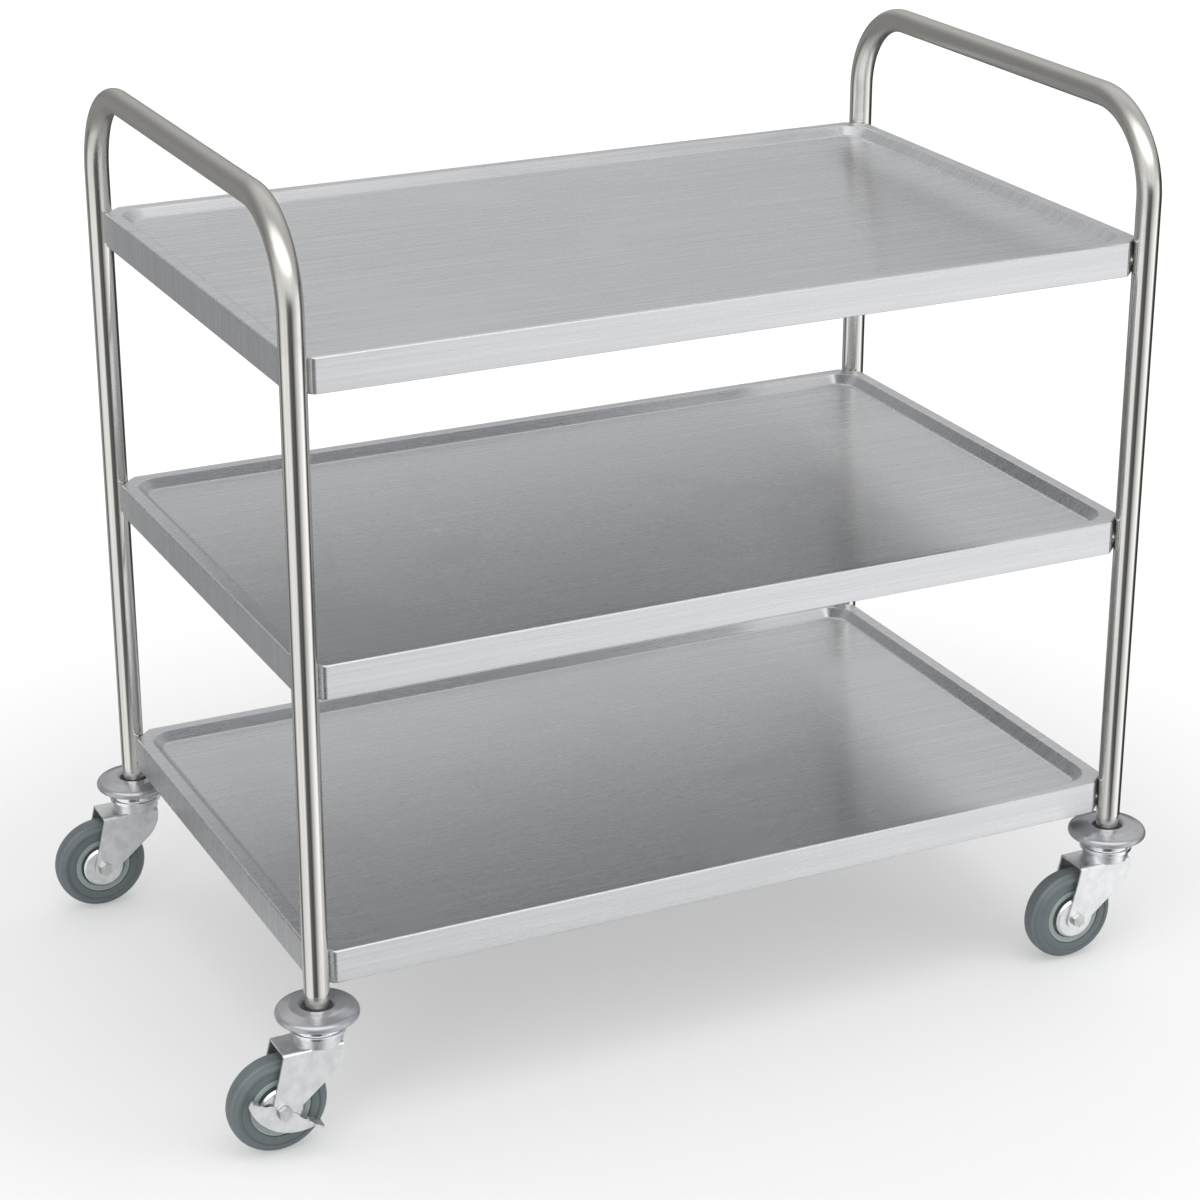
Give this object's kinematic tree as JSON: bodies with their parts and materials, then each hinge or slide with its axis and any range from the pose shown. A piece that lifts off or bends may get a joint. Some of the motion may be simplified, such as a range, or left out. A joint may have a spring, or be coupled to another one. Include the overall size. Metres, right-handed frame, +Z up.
{
  "type": "food service trolley",
  "caption": "Three-tier stainless steel serving trolley with two bent tube end frames, three pressed tray shelves and swivel castors with bumper discs and brakes.",
  "frame": {"origin": "on the floor under the middle of the whole trolley's box, with all wheels trailing towards -X", "axes": "+X along the trolley from the left handle to the right handle, +Y across it away from the front, +Z up"},
  "size_m": [1.0364, 0.648, 0.93],
  "materials": {
    "tube_steel": "polished stainless tube with satin bars",
    "tray_steel": "lengthwise brushed stainless sheet",
    "collar_steel": "bright turned steel",
    "race_chrome": "bright chrome plate",
    "fork_zinc": "bright zinc plate",
    "fixing_steel": "plain steel",
    "bumper_plastic": "satin moulded plastic",
    "rim_plastic": "moulded plastic",
    "tyre_rubber": "non-marking grey rubber"
  },
  "bodies": {
    "frame": {"left_end_frame": "tube_steel", "right_end_frame": "tube_steel", "bottom_shelf": "tray_steel", "middle_shelf": "tray_steel", "top_shelf": "tray_steel", "bottom_backing_plates": "fixing_steel", "middle_backing_plates": "fixing_steel", "top_backing_plates": "fixing_steel", "rivet_nuts": "fixing_steel", "shelf_screws": "fixing_steel", "front_left_insert": "collar_steel", "front_left_bumper": "bumper_plastic", "front_left_race_cup": "race_chrome", "front_left_kingpin": "fixing_steel", "front_left_swivel_balls": "race_chrome", "front_right_insert": "collar_steel", "front_right_bumper": "bumper_plastic", "front_right_race_cup": "race_chrome", "front_right_kingpin": "fixing_steel", "front_right_swivel_balls": "race_chrome", "rear_left_insert": "collar_steel", "rear_left_bumper": "bumper_plastic", "rear_left_race_cup": "race_chrome", "rear_left_kingpin": "fixing_steel", "rear_left_swivel_balls": "race_chrome", "rear_right_insert": "collar_steel", "rear_right_bumper": "bumper_plastic", "rear_right_race_cup": "race_chrome", "rear_right_kingpin": "fixing_steel", "rear_right_swivel_balls": "race_chrome"},
    "front_left_swivel": {"front_left_fork": "fork_zinc", "front_left_axle_bolt": "fork_zinc", "front_left_axle_nut": "fork_zinc", "front_left_axle_sleeve": "fixing_steel", "front_left_thread_guards": "fork_zinc"},
    "front_left_wheel": {"front_left_wheel_rim": "rim_plastic", "front_left_tyre": "tyre_rubber"},
    "front_left_brake": {"front_left_brake_rocker": "fork_zinc"},
    "front_right_swivel": {"front_right_fork": "fork_zinc", "front_right_axle_bolt": "fork_zinc", "front_right_axle_nut": "fork_zinc", "front_right_axle_sleeve": "fixing_steel", "front_right_thread_guards": "fork_zinc"},
    "front_right_wheel": {"front_right_wheel_rim": "rim_plastic", "front_right_tyre": "tyre_rubber"},
    "rear_left_swivel": {"rear_left_fork": "fork_zinc", "rear_left_axle_bolt": "fork_zinc", "rear_left_axle_nut": "fork_zinc", "rear_left_axle_sleeve": "fixing_steel", "rear_left_thread_guards": "fork_zinc"},
    "rear_left_wheel": {"rear_left_wheel_rim": "rim_plastic", "rear_left_tyre": "tyre_rubber"},
    "rear_right_swivel": {"rear_right_fork": "fork_zinc", "rear_right_axle_bolt": "fork_zinc", "rear_right_axle_nut": "fork_zinc", "rear_right_axle_sleeve": "fixing_steel", "rear_right_thread_guards": "fork_zinc"},
    "rear_right_wheel": {"rear_right_wheel_rim": "rim_plastic", "rear_right_tyre": "tyre_rubber"},
    "rear_right_brake": {"rear_right_brake_rocker": "fork_zinc"}
  },
  "joints": [
    {"name": "front_left_swivel_turn", "type": "hinge", "parent": "frame", "child": "front_left_swivel", "pos_m": [-0.42325, -0.2825, 0.1], "axis": [0, 0, 1], "continuous": true},
    {"name": "front_left_wheel_roll", "type": "hinge", "parent": "front_left_swivel", "child": "front_left_wheel", "pos_m": [-0.46825, -0.2825, 0.05], "axis": [0, 1, 0], "continuous": true},
    {"name": "front_left_brake_rock", "type": "hinge", "parent": "front_left_swivel", "child": "front_left_brake", "pos_m": [-0.46825, -0.2825, 0.05], "axis": [0, -1, 0], "range_deg": [0, 28]},
    {"name": "front_right_swivel_turn", "type": "hinge", "parent": "frame", "child": "front_right_swivel", "pos_m": [0.47675, -0.2825, 0.1], "axis": [0, 0, 1], "continuous": true},
    {"name": "front_right_wheel_roll", "type": "hinge", "parent": "front_right_swivel", "child": "front_right_wheel", "pos_m": [0.43175, -0.2825, 0.05], "axis": [0, 1, 0], "continuous": true},
    {"name": "rear_left_swivel_turn", "type": "hinge", "parent": "frame", "child": "rear_left_swivel", "pos_m": [-0.42325, 0.2825, 0.1], "axis": [0, 0, 1], "continuous": true},
    {"name": "rear_left_wheel_roll", "type": "hinge", "parent": "rear_left_swivel", "child": "rear_left_wheel", "pos_m": [-0.46825, 0.2825, 0.05], "axis": [0, 1, 0], "continuous": true},
    {"name": "rear_right_swivel_turn", "type": "hinge", "parent": "frame", "child": "rear_right_swivel", "pos_m": [0.47675, 0.2825, 0.1], "axis": [0, 0, 1], "continuous": true},
    {"name": "rear_right_wheel_roll", "type": "hinge", "parent": "rear_right_swivel", "child": "rear_right_wheel", "pos_m": [0.43175, 0.2825, 0.05], "axis": [0, 1, 0], "continuous": true},
    {"name": "rear_right_brake_rock", "type": "hinge", "parent": "rear_right_swivel", "child": "rear_right_brake", "pos_m": [0.43175, 0.2825, 0.05], "axis": [0, -1, 0], "range_deg": [0, 28]}
  ]
}
